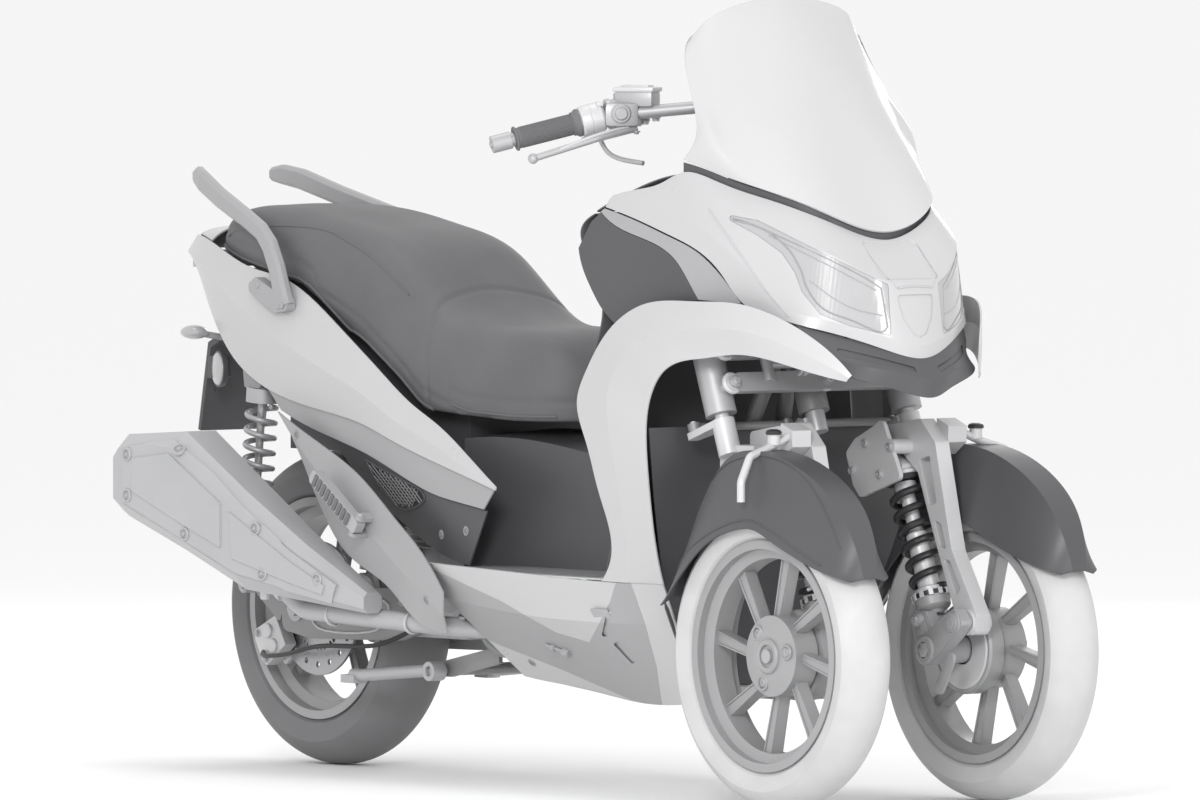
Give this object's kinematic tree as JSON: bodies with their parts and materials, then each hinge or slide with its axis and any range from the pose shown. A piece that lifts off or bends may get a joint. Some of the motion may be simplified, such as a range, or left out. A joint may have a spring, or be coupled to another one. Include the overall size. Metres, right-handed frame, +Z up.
{
  "type": "tilting three-wheel scooter",
  "caption": "Tilting three-wheel scooter with steered front wheels on a lean linkage, opening long seat, tall windshield, folding passenger pegs and a centre stand.",
  "frame": {"origin": "on the floor below the middle of the whole machine, on its centre plane", "axes": "+X forward, +Y to the rider's left, +Z up"},
  "size_m": [2.1519, 0.7704, 1.3719],
  "materials": {
    "white_panel": "gloss",
    "light_grey_panel": "satin",
    "dark_grey_panel": "satin",
    "seat_cover": "grained",
    "front_tyre_rubber": "matte",
    "rear_tyre_rubber": "matte",
    "cast_wheel": "satin",
    "cast_arm": "cast",
    "steel_tube": "satin",
    "machine_grey": "cast",
    "silencer_cover": "satin",
    "shock_steel": "satin",
    "grip_rubber": "matte",
    "screen": "gloss",
    "lamp_lens": "gloss",
    "disc_steel": "brushed"
  },
  "bodies": {
    "chassis": {"windshield": "screen", "nose_cowl": "white_panel", "headlamps": "lamp_lens", "screen_mount": "dark_grey_panel", "chin": "dark_grey_panel", "tail_top": "white_panel", "side_strips": "light_grey_panel", "leg_shields": "dark_grey_panel", "side_fairings": "white_panel", "lower_fairings": "white_panel", "sill_strips": "light_grey_panel", "rear_side_panels": "white_panel", "flank_strips": "light_grey_panel", "seat_tub": "dark_grey_panel", "lean_linkage": "machine_grey", "frame": "steel_tube", "engine": "machine_grey", "drive_case": "machine_grey", "swingarm": "steel_tube", "rear_shocks": "machine_grey", "exhaust": "silencer_cover", "foot_boards": "white_panel", "inner_shield": "dark_grey_panel", "dash": "dark_grey_panel", "tunnel": "dark_grey_panel", "belly": "light_grey_panel", "arch_liner": "dark_grey_panel", "tail_tray": "light_grey_panel", "tail_lamp": "lamp_lens", "plate_holder": "dark_grey_panel", "step_panels": "dark_grey_panel", "peg_panels": "light_grey_panel", "grab_rails": "light_grey_panel", "indicators": "lamp_lens"},
    "steering": {"steering_stem": "machine_grey", "handlebar": "machine_grey", "grips": "grip_rubber", "controls": "machine_grey"},
    "knuckle_left": {"upright_left": "cast_arm", "link_left": "machine_grey", "shock_left": "shock_steel", "fender_left": "dark_grey_panel"},
    "knuckle_right": {"upright_right": "cast_arm", "link_right": "machine_grey", "shock_right": "shock_steel", "fender_right": "dark_grey_panel"},
    "wheel_left": {"front_tyre_left": "front_tyre_rubber", "front_rim_left": "cast_wheel"},
    "wheel_right": {"front_tyre_right": "front_tyre_rubber", "front_rim_right": "cast_wheel"},
    "rear_wheel": {"rear_tyre": "rear_tyre_rubber", "rear_rim": "cast_wheel", "rear_disc": "disc_steel"},
    "seat_lid": {"seat": "seat_cover"},
    "stand": {"centre_stand": "machine_grey"},
    "tie_rod_left": {"tie_rod_left": "steel_tube"},
    "tie_rod_right": {"tie_rod_right": "steel_tube"},
    "peg_left": {"passenger_peg_left": "machine_grey"},
    "peg_right": {"passenger_peg_right": "machine_grey"}
  },
  "joints": [
    {"name": "steer", "type": "hinge", "parent": "chassis", "child": "steering", "pos_m": [0.602, 0, 0.69], "axis": [-0.3502, 0, 0.9367], "range_deg": [-35, 35]},
    {"name": "king_pin_left", "type": "hinge", "parent": "chassis", "child": "knuckle_left", "pos_m": [0.602, 0.2, 0.69], "axis": [-0.3502, 0, 0.9367], "range_deg": [-35, 35]},
    {"name": "king_pin_right", "type": "hinge", "parent": "chassis", "child": "knuckle_right", "pos_m": [0.602, -0.2, 0.69], "axis": [-0.3502, 0, 0.9367], "range_deg": [-35, 35]},
    {"name": "tie_rod_left_pin", "type": "hinge", "parent": "steering", "child": "tie_rod_left", "pos_m": [0.55926, 0.014, 0.62729], "axis": [-0.3502, 0, 0.9367], "range_deg": [-35, 35]},
    {"name": "tie_rod_right_pin", "type": "hinge", "parent": "steering", "child": "tie_rod_right", "pos_m": [0.55926, -0.014, 0.62729], "axis": [-0.3502, 0, 0.9367], "range_deg": [-35, 35]},
    {"name": "wheel_spin_left", "type": "hinge", "parent": "knuckle_left", "child": "wheel_left", "pos_m": [0.814, 0.225, 0.262], "axis": [0, 1, 0], "continuous": true},
    {"name": "wheel_spin_right", "type": "hinge", "parent": "knuckle_right", "child": "wheel_right", "pos_m": [0.814, -0.225, 0.262], "axis": [0, 1, 0], "continuous": true},
    {"name": "rear_wheel_spin", "type": "hinge", "parent": "chassis", "child": "rear_wheel", "pos_m": [-0.746, 0, 0.276], "axis": [0, 1, 0], "continuous": true},
    {"name": "seat_hinge", "type": "hinge", "parent": "chassis", "child": "seat_lid", "pos_m": [0.06, 0, 0.618], "axis": [0, 1, 0], "range_deg": [0, 48]},
    {"name": "stand_pivot", "type": "hinge", "parent": "chassis", "child": "stand", "pos_m": [-0.303, 0, 0.186], "axis": [0, -1, 0], "range_deg": [0, 95]},
    {"name": "peg_hinge_left", "type": "hinge", "parent": "chassis", "child": "peg_left", "pos_m": [-0.354, 0.256, 0.441], "axis": [-0.564, 0, -0.8258], "range_deg": [0, 90]},
    {"name": "peg_hinge_right", "type": "hinge", "parent": "chassis", "child": "peg_right", "pos_m": [-0.354, -0.256, 0.441], "axis": [0.564, 0, 0.8258], "range_deg": [0, 90]}
  ],
  "couplings": [
    {"joint": "king_pin_left", "follows": "steer", "ratio": 1},
    {"joint": "king_pin_right", "follows": "steer", "ratio": 1},
    {"joint": "tie_rod_left_pin", "follows": "steer", "ratio": -1},
    {"joint": "tie_rod_right_pin", "follows": "steer", "ratio": -1}
  ]
}
